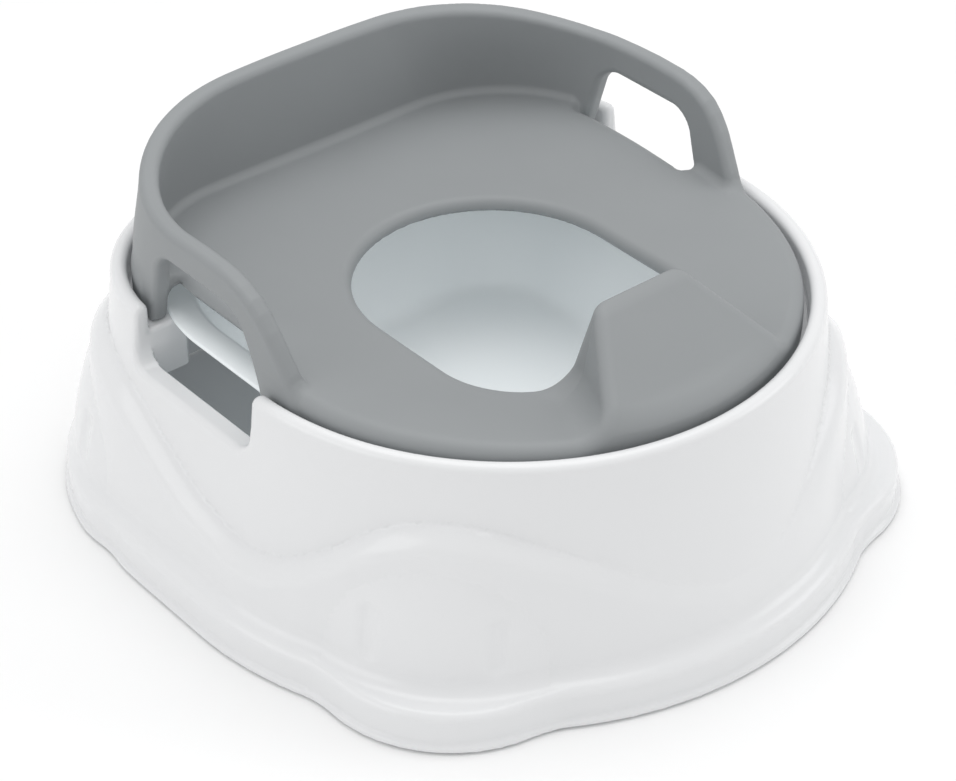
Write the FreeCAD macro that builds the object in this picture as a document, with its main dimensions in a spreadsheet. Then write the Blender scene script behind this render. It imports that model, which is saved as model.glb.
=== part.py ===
import FreeCAD, Part
import math
import os
import Sketcher

# A child's potty training chair, in millimetres.  +Z is up, the child faces -Y, and the origin is on
# the floor under the middle of the base.  It comes apart into three mouldings, lifted off in turn:
# the seat (deck, backrest, two side handles and splash guard in one), the bowl, and the base.

# name, value, what it measures
SIZES = [
    ("base_width", 385, "the base across its foot lip"),
    ("base_length", 398, "the base from front to back of its foot lip"),
    ("rim_height", 132, "floor to the top of the base's rim"),
    ("back_height", 195, "floor to the top of the backrest"),
    ("shell_wall", 3, "moulded wall of the base"),
    ("foot_drop", 1, "how far the rubber feet stand below the lip"),
    ("flange_depth", 11.5, "foot lip to the wall above it"),
    ("flange_height", 21.5, "floor to the top of the foot flange"),
    ("lip_corner", 125, "radius of the foot lip's rear corners"),
    ("lean_side", 22.5, "how far the side walls lean in up to the rim"),
    ("lean_front", 18.5, "how far the front wall leans in"),
    ("lean_rear", 20, "how far the rear wall leans in"),
    ("rim_band", 8, "width of the rounded rim"),
    ("rim_corner", 82, "radius of the mouth's rear corners"),
    ("ledge_drop", 15.5, "rim down to the ledge that carries bowl and seat"),
    ("shoulder", 9, "how far the wall above the fenders is set back from them"),
    ("belt_height", 58, "floor to the low stretch of the fender line"),
    ("arch_radius", 79, "fender arch round a wheel"),
    ("wheel_radius", 56, "moulded wheel"),
    ("hub_setback", 25, "wheel's centre back to the axis that its face curves about"),
    ("hub_radius", 83, "plan radius of the wheel's face at the flange"),
    ("hub_top_radius", 65, "plan radius of the wheel's face at its top"),
    ("bulge_radius", 72, "plan radius of the flange round a wheel"),
    ("wheel_turn", 39, "degrees from straight sideways that a wheel faces"),
    ("front_wheel_side", 87, "side lip to a front wheel's centre"),
    ("front_wheel_end", 104, "front lip to a front wheel's centre"),
    ("rear_wheel_side", 75, "side lip to a rear wheel's centre"),
    ("rear_wheel_end", 88, "rear lip to a rear wheel's centre"),
    ("handle_centre", 35, "hand notch's middle behind the origin"),
    ("notch_length", 95, "hand notch in the rim, front to back"),
    ("notch_depth", 32.5, "rim down to the bottom of the hand notch"),
    ("notch_corner", 11, "radius of the notch's lower corners"),
    ("boss_reach", 45, "wheel centre out to a foot's boss"),
    ("boss_radius", 7, "boss for a rubber foot"),
    ("boss_top", 42, "floor to the top of the boss"),
    ("rib_length", 46, "rib that ties a boss to the wall"),
    ("foot_radius", 12, "rubber foot"),
    ("foot_height", 9, "rubber foot below its boss"),
    ("stem_radius", 4, "stem of a rubber foot"),
    ("stem_length", 14, "stem of a rubber foot"),
    ("stem_clearance", 0.15, "between a foot's stem and its boss"),
    ("brim_gap", 9.5, "bowl's brim to the mouth of the base"),
    ("brim_corner", 92, "radius of the brim's rear corners"),
    ("brim_width", 13, "width of the bowl's brim"),
    ("brim_thickness", 2.5, "bowl's brim"),
    ("bowl_wall", 2.5, "bowl's side and floor"),
    ("bowl_depth", 75, "brim to the inside of the bowl's floor"),
    ("bowl_lean", 40, "how far the bowl's side leans in"),
    ("bowl_floor_corner", 45, "radius of the bowl floor's rear corners"),
    ("bowl_clearance", 1, "between the bowl's side and the ledge"),
    ("seat_gap", 3, "seat's skirt to the mouth of the base"),
    ("seat_corner", 100, "radius of the backrest's rear corners"),
    ("seat_wall", 3.5, "moulded wall of the seat"),
    ("deck_rise", 2, "seat's deck above the rim"),
    ("deck_thickness", 4, "seat's deck"),
    ("back_thickness", 10, "hollow-backed wall of the backrest"),
    ("rail_height", 183, "floor to the top of the handles"),
    ("rail_depth", 17.5, "height of the handle's rail"),
    ("post_foot", 28, "front post's foot in front of the window"),
    ("post_lean", 30, "how far the front post leans back"),
    ("rail_length", 72, "level part of the handle's rail"),
    ("window_length", 84, "handle window along its foot"),
    ("window_top", 62.5, "handle window along its top"),
    ("window_shift", 7, "handle window's middle behind the hand notch's"),
    ("window_setback", 4, "how far the deck's edge is cut back in the window"),
    ("brim_clearance", 1, "between the bowl's brim and the wall inside the window"),
    ("hole_width", 141, "hole in the deck"),
    ("hole_rear", 71, "rear of the hole behind the origin"),
    ("hole_corner", 40, "radius of the hole's front corners"),
    ("hole_lip", 12, "depth of the rolled lip round the hole"),
    ("guard_rear", 93, "splash guard's rear face in front of the origin"),
    ("guard_height", 174, "floor to the ridge of the splash guard"),
    ("guard_waist", 146, "floor to the waist of the splash guard"),
    ("ridge_width", 56, "splash guard's ridge"),
    ("ridge_depth", 12, "splash guard's ridge, front to back"),
    ("waist_width", 102, "splash guard's ramp at its waist"),
    ("waist_depth", 50, "splash guard at its waist, front to back"),
    ("ramp_width", 100, "splash guard's ramp at the deck"),
    ("guard_back_width", 76, "splash guard's rear face at the deck"),
    ("ramp_margin", 10, "foot of the ramp to the seat's front edge"),
    ("grip_length", 46, "rubber grip under the deck"),
    ("grip_width", 12, "rubber grip under the deck"),
    ("grip_height", 6, "rubber grip under the deck"),
    ("grip_side", 108, "grip's middle from the centre line"),
    ("grip_front", 38, "front grip's middle in front of the origin"),
    ("grip_rear", 72, "rear grip's middle behind the origin"),
]

doc = FreeCAD.newDocument("potty_training_chair")
sheet = doc.addObject("Spreadsheet::Sheet", "Dims")


class Size:
    """A length that knows its value now and the expression that ties it to the sheet."""

    def __init__(self, value, text):
        self.value = value
        self.text = text

    def __add__(self, other):
        other = as_size(other)
        return Size(self.value + other.value, "(" + self.text + " + " + other.text + ")")

    def __sub__(self, other):
        other = as_size(other)
        return Size(self.value - other.value, "(" + self.text + " - " + other.text + ")")

    def __mul__(self, other):
        other = as_size(other)
        return Size(self.value * other.value, "(" + self.text + " * " + other.text + ")")

    def __truediv__(self, number):
        return self * (1 / number)

    def __neg__(self):
        return self * -1

    def at_most(self, other):
        """This length, or the other one where that is shorter."""
        other = as_size(other)
        return Size(min(self.value, other.value), "min(" + self.text + "; " + other.text + ")")


def as_size(value):
    """A Size from a Size or a plain number."""
    if isinstance(value, Size):
        return value
    return Size(float(value), repr(float(value)))


class Sheet:
    """The sheet's cells as Size attributes."""


def fill_sheet():
    """Write every driving dimension to the sheet and give them back as one object."""
    cells = Sheet()
    for row, (alias, value, meaning) in enumerate(SIZES, start=1):
        sheet.set("A%d" % row, meaning)
        sheet.set("B%d" % row, str(value))
        sheet.setAlias("B%d" % row, alias)
        setattr(cells, alias, Size(float(value), "Dims." + alias))
    doc.recompute()
    return cells


def bind(thing, path, size):
    """Bind one property of a document object to the sheet."""
    thing.setExpression(path, as_size(size).text)


# ------------------------------------------------------------------------------------- sketches

def new_sketch(name, body, plane, offset):
    """An empty sketch, attached to a body's origin plane or free in the document, at an offset."""
    if body is None:
        sketch = doc.addObject("Sketcher::SketchObject", name)
        bind(sketch, "Placement.Base.z", offset)
        return sketch
    sketch = body.newObject("Sketcher::SketchObject", name)
    base = [item for item in body.Origin.OriginFeatures if item.Role == plane][0]
    sketch.AttachmentSupport = [(base, "")]
    sketch.MapMode = "FlatFace"
    bind(sketch, "AttachmentOffset.Base.z", offset)
    return sketch


def tie(sketch, name, constraint, size):
    """Add a constraint, name it and bind it to the sheet."""
    number = sketch.addConstraint(constraint)
    sketch.renameConstraint(number, name)
    bind(sketch, "Constraints." + name, size)


class Plan:
    """A plan shape: a half circle at the front, straight sides and a straight back with corners."""

    def __init__(self, half, front, rear, corner):
        self.half = half
        self.front = front
        self.rear = rear
        self.corner = corner

    def inset(self, amount):
        """The same shape, smaller by one amount all round."""
        return Plan(self.half - amount, self.front - amount, self.rear - amount,
                    self.corner - amount)

    def round_off(self, corner):
        """Give the rear corners a radius, limited by the straight side that has to stay."""
        self.corner = corner.at_most(self.rear + self.front - self.half - 2)


def draw_plan(sketch, plan, turned=False, prefix=""):
    """Draw a plan in a sketch; turned puts the half circle at the back."""
    way = -1 if turned else 1
    half, corner = plan.half.value, plan.corner.value
    middle = way * (half - plan.front.value)
    back = way * plan.rear.value
    bend = back - way * corner
    up = FreeCAD.Vector(0, 0, 1)
    quarter = math.pi / 2

    def point(x, y):
        return FreeCAD.Vector(x, y, 0)

    def arc(x, y, radius, start):
        circle = Part.Circle(point(x, y), up, radius)
        sweep = 2 * quarter if radius == half else quarter
        return Part.ArcOfCircle(circle, start, start + sweep)

    if turned:
        pieces = [arc(0, middle, half, 0),
                  Part.LineSegment(point(-half, middle), point(-half, bend)),
                  arc(-half + corner, bend, corner, 2 * quarter),
                  Part.LineSegment(point(-half + corner, back), point(half - corner, back)),
                  arc(half - corner, bend, corner, 3 * quarter),
                  Part.LineSegment(point(half, bend), point(half, middle))]
    else:
        pieces = [arc(0, middle, half, 2 * quarter),
                  Part.LineSegment(point(half, middle), point(half, bend)),
                  arc(half - corner, bend, corner, 0),
                  Part.LineSegment(point(half - corner, back), point(-half + corner, back)),
                  arc(-half + corner, bend, corner, quarter),
                  Part.LineSegment(point(-half, bend), point(-half, middle))]
    first = sketch.GeometryCount
    for piece in pieces:
        sketch.addGeometry(piece)
    for number in range(6):
        here, after = first + number, first + (number + 1) % 6
        sketch.addConstraint(Sketcher.Constraint("Tangent", here, 2, after, 1))
    sketch.addConstraint(Sketcher.Constraint("PointOnObject", first, 3, -2))
    sketch.addConstraint(Sketcher.Constraint("Horizontal", first + 3))
    sketch.addConstraint(Sketcher.Constraint("Equal", first + 2, first + 4))
    tie(sketch, prefix + "half", Sketcher.Constraint("Radius", first, half), plan.half)
    tie(sketch, prefix + "corner", Sketcher.Constraint("Radius", first + 2, corner), plan.corner)
    tie(sketch, prefix + "middle", Sketcher.Constraint("DistanceY", -1, 1, first, 3, middle),
        (plan.half - plan.front) * way)
    tie(sketch, prefix + "back", Sketcher.Constraint("DistanceY", -1, 1, first + 3, 1, back),
        plan.rear * way)


def plan_sketch(name, plan, height, body=None, turned=False):
    """A level sketch of one plan shape at a height."""
    sketch = new_sketch(name, body, "XY_Plane", height)
    draw_plan(sketch, plan, turned)
    return sketch


def corner_sketch(name, points, body, plane="XY_Plane", offset=0):
    """A sketch of a closed shape with straight sides; its corners are pairs of sizes."""
    sketch = new_sketch(name, body, plane, offset)
    places = [FreeCAD.Vector(as_size(x).value, as_size(y).value, 0) for x, y in points]
    count = len(places)
    for number in range(count):
        sketch.addGeometry(Part.LineSegment(places[number], places[(number + 1) % count]))
    for number in range(count):
        sketch.addConstraint(Sketcher.Constraint("Coincident", number, 2, (number + 1) % count, 1))
    for number, (x, y) in enumerate(points):
        tie(sketch, "x%d" % number,
            Sketcher.Constraint("DistanceX", -1, 1, number, 1, places[number].x), x)
        tie(sketch, "y%d" % number,
            Sketcher.Constraint("DistanceY", -1, 1, number, 1, places[number].y), y)
    return sketch


# ------------------------------------------------------------------- solids of the Part workbench

def loft(name, sections):
    """A straight-sided solid through closed sketches."""
    solid = doc.addObject("Part::Loft", name)
    solid.Sections = sections
    solid.Solid = True
    solid.Ruled = True
    return solid


def raised(name, sketch, height):
    """A level sketch made solid upwards."""
    solid = doc.addObject("Part::Extrusion", name)
    solid.Base = sketch
    solid.DirMode = "Normal"
    solid.Solid = True
    bind(solid, "LengthFwd", height)
    return solid


def combine(kind, name, parts):
    """Fuse or intersect several solids."""
    result = doc.addObject(kind, name)
    result.Shapes = parts
    return result


def cut(name, base, tool):
    """Take one solid away from another."""
    result = doc.addObject("Part::Cut", name)
    result.Base = base
    result.Tool = tool
    return result


def place(thing, x, y, z):
    """Bind a solid's place to the sheet."""
    bind(thing, "Placement.Base.x", x)
    bind(thing, "Placement.Base.y", y)
    bind(thing, "Placement.Base.z", z)


size = fill_sheet()

lip_plan = Plan(size.base_width / 2, size.base_length / 2, size.base_length / 2, size.lip_corner)
foot_plan = lip_plan.inset(size.flange_depth)
mouth_plan = Plan(foot_plan.half - size.lean_side - size.rim_band,
                  foot_plan.front - size.lean_front - size.rim_band,
                  foot_plan.rear - size.lean_rear - size.rim_band,
                  size.rim_corner)
rim_plan = mouth_plan.inset(-size.rim_band)
brim_plan = mouth_plan.inset(size.brim_gap)
brim_plan.round_off(size.brim_corner)
bowl_plan = brim_plan.inset(size.brim_width)
seat_plan = mouth_plan.inset(size.seat_gap)
seat_plan.round_off(size.seat_corner)

ledge_height = size.rim_height - size.ledge_drop
brim_top = ledge_height + size.brim_thickness
deck_top = size.rim_height + size.deck_rise
deck_under = deck_top - size.deck_thickness
notch_floor = size.rim_height - size.notch_depth
flange_top = size.flange_height
PAST = 20                       # how far a cutting shape runs past what it cuts


def wheel_places():
    """Each corner's name, its wheel's centre and the direction that the wheel faces."""
    for end, toward in (("front", -1), ("rear", 1)):
        inset_side = getattr(size, end + "_wheel_side")
        inset_end = getattr(size, end + "_wheel_end")
        for side, across in (("left", 1), ("right", -1)):
            x = (size.base_width / 2 - inset_side) * across
            y = (size.base_length / 2 - inset_end) * toward
            turn = math.radians(size.wheel_turn.value)
            facing = FreeCAD.Vector(across * math.cos(turn), toward * math.sin(turn), 0)
            yield end + "_" + side, x, y, facing


# --------------------------------------------------------------------------------------- base

def base_form(label, inset):
    """The outside of the base, or with an inset the space inside its wall."""
    top = size.rim_height - inset
    foot = flange_top - inset - 1
    wall = loft(label + "_wall", [
        plan_sketch(label + "_wall_foot", foot_plan.inset(size.shoulder + inset), foot),
        plan_sketch(label + "_wall_rim", rim_plan.inset(inset), top)])
    shoulder = loft(label + "_shoulder", [
        plan_sketch(label + "_shoulder_foot", foot_plan.inset(inset), foot),
        plan_sketch(label + "_shoulder_rim", rim_plan.inset(inset - size.shoulder), top)])
    start = as_size(-PAST) if inset is size.shell_wall else size.foot_drop
    flange = raised(label + "_flange", plan_sketch(label + "_lip", lip_plan.inset(inset), start),
                    flange_top - inset - start)
    belt = doc.addObject("Part::Box", label + "_belt")
    bind(belt, "Length", size.base_width + 2 * PAST)
    bind(belt, "Width", size.base_length + 2 * PAST)
    bind(belt, "Height", size.belt_height - inset)
    place(belt, -size.base_width / 2 - PAST, -size.base_length / 2 - PAST, 0)
    bulges, arches, wheels = [], [belt], []
    for corner, x, y, facing in wheel_places():
        bulge = doc.addObject("Part::Cylinder", label + "_bulge_" + corner)
        bind(bulge, "Radius", size.bulge_radius - inset)
        bind(bulge, "Height", flange_top - inset - start)
        place(bulge, x, y, start)
        bulges.append(bulge)
        level = FreeCAD.Rotation(FreeCAD.Vector(0, 0, 1), facing)
        for name, radius, group in (("arch", size.arch_radius, arches),
                                    ("disc", size.wheel_radius, None)):
            drum = doc.addObject("Part::Cylinder", label + "_" + name + "_" + corner)
            bind(drum, "Radius", radius - inset)
            bind(drum, "Height", size.bulge_radius * 2)
            drum.Placement = FreeCAD.Placement(FreeCAD.Vector(), level)
            place(drum, x, y, flange_top)
            if group is not None:
                group.append(drum)
        hub = doc.addObject("Part::Cone", label + "_hub_" + corner)
        bind(hub, "Radius1", size.hub_radius - inset)
        bind(hub, "Radius2", size.hub_top_radius - inset)
        bind(hub, "Height", size.wheel_radius)
        place(hub, x - size.hub_setback * facing.x, y - size.hub_setback * facing.y,
              flange_top - inset)
        wheels.append(combine("Part::MultiCommon", label + "_wheel_" + corner, [drum, hub]))
    fenders = combine("Part::MultiCommon", label + "_fenders",
                      [shoulder, combine("Part::MultiFuse", label + "_arches", arches)])
    return combine("Part::MultiFuse", label + "_form", [wall, flange, fenders] + bulges + wheels)


def notch_tool():
    """The hand notches, cut through both side walls at once."""
    frame = doc.addObject("Part::Box", "notch_block")
    bind(frame, "Length", size.base_width)
    bind(frame, "Width", size.notch_length)
    bind(frame, "Height", size.notch_depth + size.notch_corner * 2)
    place(frame, -size.base_width / 2, size.handle_centre - size.notch_length / 2, notch_floor)
    rounded = doc.addObject("Part::Fillet", "notch_tool")
    rounded.Base = frame
    doc.recompute()
    low = [number for number, edge in enumerate(frame.Shape.Edges, start=1)
           if abs(edge.Vertexes[0].Point.z - notch_floor.value) < 0.1
           and abs(edge.Vertexes[1].Point.z - notch_floor.value) < 0.1
           and abs(edge.Vertexes[0].Point.x - edge.Vertexes[1].Point.x) > 1]
    radius = size.notch_corner.value
    rounded.Edges = [(number, radius, radius) for number in low]
    return rounded


def make_base():
    """One open-bottomed moulding: flange, wheels, fenders, rim, ledge, hand notches and bosses."""
    outside = base_form("outer", as_size(0))
    inside = base_form("inner", size.shell_wall)
    shell = cut("base_skin", outside, inside)
    collar = raised("collar", plan_sketch("collar_plan", mouth_plan.inset(-size.shell_wall),
                                          ledge_height - size.shell_wall),
                    size.ledge_drop + size.shell_wall)
    block = doc.addObject("Part::Box", "notch_surround")
    bind(block, "Length", size.base_width)
    bind(block, "Width", size.notch_length + size.shell_wall * 2)
    bind(block, "Height", size.notch_depth + size.shell_wall)
    place(block, -size.base_width / 2,
          size.handle_centre - size.notch_length / 2 - size.shell_wall,
          notch_floor - size.shell_wall)
    core = raised("notch_core", plan_sketch("notch_core_plan", mouth_plan,
                                            notch_floor - PAST), size.notch_depth + 2 * PAST)
    surround = cut("notch_lining", combine("Part::MultiCommon", "notch_ring", [outside, block]),
                   core)
    bosses, stems = [], []
    for corner, x, y, facing in wheel_places():
        boss_x = x + size.boss_reach * facing.x
        boss_y = y + size.boss_reach * facing.y
        boss = doc.addObject("Part::Cylinder", "boss_" + corner)
        bind(boss, "Radius", size.boss_radius)
        bind(boss, "Height", size.boss_top - size.foot_height)
        place(boss, boss_x, boss_y, size.foot_height)
        rib = doc.addObject("Part::Box", "rib_" + corner)
        bind(rib, "Length", size.rib_length)
        bind(rib, "Width", size.shell_wall)
        bind(rib, "Height", size.boss_top - size.foot_height)
        turn = math.degrees(math.atan2(facing.y, facing.x))
        rib.Placement = FreeCAD.Placement(FreeCAD.Vector(),
                                          FreeCAD.Rotation(FreeCAD.Vector(0, 0, 1), turn))
        half_wall = size.shell_wall / 2
        place(rib, boss_x + half_wall * facing.y, boss_y - half_wall * facing.x,
              size.foot_height)
        bosses += [boss, rib]
        hole = doc.addObject("Part::Cylinder", "stem_hole_" + corner)
        bind(hole, "Radius", size.stem_radius + size.stem_clearance)
        bind(hole, "Height", size.stem_length + size.stem_clearance)
        place(hole, boss_x, boss_y, size.foot_height)
        stems.append(hole)
    ribbing = combine("Part::MultiCommon", "ribbing",
                      [outside, combine("Part::MultiFuse", "bosses", bosses)])
    whole = combine("Part::MultiFuse", "base_whole", [shell, collar, surround, ribbing])
    recess = raised("recess", plan_sketch("recess_plan", mouth_plan, ledge_height),
                    size.ledge_drop + PAST)
    opening = raised("bowl_opening",
                     plan_sketch("opening_plan", bowl_plan.inset(-size.bowl_clearance),
                                 ledge_height - PAST), 2 * PAST)
    tools = combine("Part::MultiFuse", "base_tools", [recess, opening, notch_tool()] + stems)
    base = cut("base_shell", whole, tools)
    base.Label = "base_shell"
    return base


# --------------------------------------------------------------------------------------- bowl

def new_body(label):
    """An empty PartDesign body."""
    body = doc.addObject("PartDesign::Body", label)
    body.Label = label
    return body


def add_loft(body, kind, name, sections):
    """A ruled loft that adds to or takes from a body."""
    step = body.newObject("PartDesign::" + kind, name)
    step.Profile = sections[0]
    step.Sections = sections[1:]
    step.Ruled = True
    return step


def add_pad(body, name, sketch, length):
    """Pad a sketch upwards."""
    step = body.newObject("PartDesign::Pad", name)
    step.Profile = sketch
    bind(step, "Length", length)
    return step


def add_pocket(body, name, sketch, length, up=True, both_ways=False):
    """Cut a sketch's shape out of a body; up cuts the way that the sketch faces."""
    step = body.newObject("PartDesign::Pocket", name)
    step.Profile = sketch
    bind(step, "Length", length)
    step.Reversed = up
    step.Midplane = both_ways
    return step


def make_bowl():
    """The bowl that lifts out: a flat brim, sloping sides and a flat floor."""
    body = new_body("potty_bowl")
    floor_plan = bowl_plan.inset(size.bowl_lean)
    floor_plan.round_off(size.bowl_floor_corner)
    floor_top = brim_top - size.bowl_depth
    floor_under = floor_top - size.bowl_wall
    add_loft(body, "AdditiveLoft", "bowl_outside",
             [plan_sketch("bowl_foot", floor_plan, floor_under, body),
              plan_sketch("bowl_mouth", bowl_plan, brim_top, body)])
    add_pad(body, "brim", plan_sketch("brim_outline", brim_plan, ledge_height, body),
            size.brim_thickness)
    add_loft(body, "SubtractiveLoft", "bowl_inside",
             [plan_sketch("bowl_floor", floor_plan.inset(size.bowl_wall), floor_top, body),
              plan_sketch("bowl_lip", bowl_plan.inset(size.bowl_wall), brim_top, body)])
    return body


# --------------------------------------------------------------------------------------- seat

def make_seat():
    """The seat: deck with skirt, hole and rolled lip, backrest, side handles and splash guard."""
    body = new_body("toilet_seat")
    skirt_height = deck_top - ledge_height
    add_pad(body, "deck", plan_sketch("deck_outline", seat_plan, ledge_height, body),
            skirt_height)
    add_pocket(body, "underside",
               plan_sketch("underside_outline", seat_plan.inset(size.seat_wall), ledge_height,
                           body), deck_under - ledge_height)
    hole_plan = Plan(size.hole_width / 2, size.hole_rear, size.guard_rear, size.hole_corner)
    lip_foot = deck_top - size.hole_lip
    add_pad(body, "hole_rim",
            plan_sketch("hole_rim_outline", hole_plan.inset(-size.seat_wall), lip_foot, body,
                        turned=True), size.hole_lip)
    wall_top = size.back_height - deck_under
    ring = new_sketch("backrest_ring", body, "XY_Plane", deck_under)
    draw_plan(ring, seat_plan, prefix="outer_")
    draw_plan(ring, seat_plan.inset(size.back_thickness), prefix="inner_")
    add_pad(body, "backrest", ring, wall_top)

    window_centre = size.handle_centre + size.window_shift
    window_front = window_centre - size.window_length / 2
    window_rear = window_centre + size.window_length / 2
    post_top = window_front - size.post_foot + size.post_lean
    rail_rear = post_top + size.rail_length
    above = size.back_height + PAST
    add_pocket(body, "side_profile", corner_sketch("side_profile_outline", [
        (-seat_plan.front - PAST, above), (-seat_plan.front - PAST, deck_top),
        (window_front - size.post_foot, deck_top), (post_top, size.rail_height),
        (rail_rear, size.rail_height), (seat_plan.rear, size.back_height),
        (seat_plan.rear + PAST, size.back_height), (seat_plan.rear + PAST, above)],
        body, "YZ_Plane"), size.base_width, both_ways=True)
    ridge_front = size.guard_rear + size.ridge_depth
    waist_front = size.guard_rear + size.waist_depth
    ramp_front = seat_plan.front - size.ramp_margin
    guard = [(lip_foot, size.guard_back_width, ramp_front, size.ramp_width),
             (size.guard_waist, (size.guard_back_width + size.ridge_width) / 2, waist_front,
              size.waist_width),
             (size.guard_height, size.ridge_width, ridge_front, size.ridge_width)]

    def guard_sections(label, inset):
        sections = []
        for level, (height, back_width, front, front_width) in enumerate(guard):
            back, wide = back_width / 2 - inset, front_width / 2 - inset
            corners = [(-back, -size.guard_rear - inset), (-wide, inset - front),
                       (wide, inset - front), (back, -size.guard_rear - inset)]
            drop = inset if level == 2 else as_size(0)
            sections.append(corner_sketch("%s_%d" % (label, level), corners, body,
                                          offset=height - drop))
        return sections

    add_loft(body, "AdditiveLoft", "splash_guard", guard_sections("guard", as_size(0)))
    add_loft(body, "SubtractiveLoft", "guard_hollow",
             guard_sections("guard_hollow", size.seat_wall))
    window_high = size.rail_height - size.rail_depth
    corner_slope = (size.window_length - size.window_top) / 2
    window = corner_sketch("window_outline", [
        (window_front, ledge_height - PAST), (window_front, size.rim_height),
        (window_front + corner_slope, window_high), (window_rear - corner_slope, window_high),
        (window_rear, size.rim_height), (window_rear, ledge_height - PAST)],
        body, "YZ_Plane", seat_plan.half - size.back_thickness - size.window_setback)
    pocket = add_pocket(body, "handle_window", window, size.back_thickness + PAST)
    doc.recompute()
    other_side = body.newObject("PartDesign::Mirrored", "other_window")
    other_side.Originals = [pocket]
    middle = [item for item in body.Origin.OriginFeatures if item.Role == "YZ_Plane"][0]
    other_side.MirrorPlane = (middle, [""])
    body.Tip = other_side
    outer = seat_plan.half - size.back_thickness - size.window_setback
    for side in (1, -1):
        edge_wall = [(outer * side, window_front - size.seat_wall),
                     (outer * side, window_rear + size.seat_wall),
                     ((outer - size.seat_wall) * side, window_rear + size.seat_wall),
                     ((outer - size.seat_wall) * side, window_front - size.seat_wall)]
        low = brim_top + size.brim_clearance
        add_pad(body, "edge_wall_%d" % (side + 1),
                corner_sketch("edge_wall_outline_%d" % (side + 1), edge_wall, body, offset=low),
                deck_under - low + size.deck_thickness / 2)
    add_pocket(body, "hole", plan_sketch("hole_outline", hole_plan, lip_foot - PAST, body,
                                         turned=True), size.hole_lip + 2 * PAST)
    return body


# -------------------------------------------------------------------------------- rubber parts

def make_foot(label, x, y):
    """A rubber foot with a stem that pushes into its boss."""
    body = new_body(label)
    profile = corner_sketch(label + "_profile", [
        (0, 0), (size.foot_radius, 0), (size.foot_radius, size.foot_height),
        (size.stem_radius, size.foot_height),
        (size.stem_radius, size.foot_height + size.stem_length),
        (0, size.foot_height + size.stem_length)], body, "XZ_Plane")
    turned = body.newObject("PartDesign::Revolution", label + "_turned")
    turned.Profile = profile
    turned.ReferenceAxis = (profile, ["V_Axis"])
    turned.Angle = 360
    place(body, x, y, 0)
    return body


def make_grip(label, x, y):
    """A rubber grip under the deck, which rests on the toilet's seat when the seat is used there."""
    body = new_body(label)
    long, wide = size.grip_length / 2, size.grip_width / 2
    add_pad(body, label + "_pad",
            corner_sketch(label + "_outline", [(-wide, -long), (wide, -long), (wide, long),
                                               (-wide, long)], body), size.grip_height)
    place(body, x, y, deck_under - size.grip_height)
    return body


def make_parts():
    """Every node, in the order that the chair is put together."""
    parts = [make_base()]
    for corner, x, y, facing in wheel_places():
        parts.append(make_foot("foot_" + corner, x + size.boss_reach * facing.x,
                               y + size.boss_reach * facing.y))
    parts += [make_bowl(), make_seat()]
    for end, y in (("front", -size.grip_front), ("rear", size.grip_rear)):
        for side, across in (("left", 1), ("right", -1)):
            parts.append(make_grip("seat_grip_%s_%s" % (end, side), size.grip_side * across, y))
    return parts


def check_and_write(parts):
    """Stop on any failed step or bad shape, then write one file for each node."""
    doc.recompute()
    for thing in doc.Objects:
        if "Invalid" in thing.State or "Error" in thing.State:
            raise RuntimeError("%s did not build: %s" % (thing.Name, thing.State))
    os.makedirs("parts", exist_ok=True)
    for part in parts:
        shape = part.Shape
        if shape.isNull() or not shape.isValid() or len(shape.Solids) != 1:
            raise RuntimeError("%s is not one sound solid" % part.Label)
        shape.exportStep("parts/%s.step" % part.Label)
        print("%-24s %8.1f cm3" % (part.Label, shape.Volume / 1000))


check_and_write(make_parts())
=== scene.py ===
# %% [markdown]
# # A potty training chair
# The chair is three plastic mouldings that lift apart: a glossy white base with wheels moulded
# into its corners, a white bowl, and a matt grey seat with a backrest, two handles and a splash
# guard.  Small rubber feet and grips sit underneath.  The CAD model gives every position and size,
# so the first step only loads it.

# %% Load the frame
import math

import bmesh
import bpy
import numpy as np
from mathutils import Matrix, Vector


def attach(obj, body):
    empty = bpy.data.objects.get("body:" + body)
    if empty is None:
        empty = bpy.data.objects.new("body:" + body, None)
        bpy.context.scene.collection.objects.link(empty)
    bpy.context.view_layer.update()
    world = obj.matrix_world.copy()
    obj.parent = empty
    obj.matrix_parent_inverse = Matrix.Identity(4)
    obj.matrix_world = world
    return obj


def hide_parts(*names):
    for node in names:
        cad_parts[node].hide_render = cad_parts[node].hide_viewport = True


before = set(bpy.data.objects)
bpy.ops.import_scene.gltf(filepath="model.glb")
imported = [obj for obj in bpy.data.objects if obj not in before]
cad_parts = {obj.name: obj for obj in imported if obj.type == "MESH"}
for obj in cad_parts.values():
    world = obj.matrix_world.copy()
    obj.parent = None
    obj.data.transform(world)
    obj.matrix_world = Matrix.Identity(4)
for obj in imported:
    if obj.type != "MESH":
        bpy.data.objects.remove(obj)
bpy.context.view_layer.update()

# %% [markdown]
# ## How the mouldings are described
# A moulding has few flat faces: walls lean, corners are rounded, and one wall runs smoothly into
# the next.  Box modelling would fight with that, so the base and the seat are written as distance
# fields: a function that tells how far a point is outside (+) or inside (-) the plastic.  Two
# fields join by taking the smaller one, and a rounded join needs only one more line.  Sizes here
# are in millimetres, and meshes are scaled to metres at the very end.

# %% Rounded joins of two fields
def both(a, b, radius=0.0):
    """Where two shapes overlap; the edge between them gets a radius."""
    if radius == 0.0:
        return np.maximum(a, b)
    corner = np.hypot(np.maximum(a + radius, 0), np.maximum(b + radius, 0))
    return np.minimum(np.maximum(a, b), -radius) + corner


def either(a, b, radius=0.0):
    """Two shapes together; the corner between them gets a fillet."""
    return -both(-a, -b, radius)


def without(a, b, radius=0.0):
    """The first shape less the second."""
    return both(a, -b, radius)


def ease(value, start, end):
    """A soft step from 0 at start to 1 at end."""
    t = np.clip((value - start) / (end - start), 0, 1)
    return t * t * (3 - 2 * t)


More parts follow.
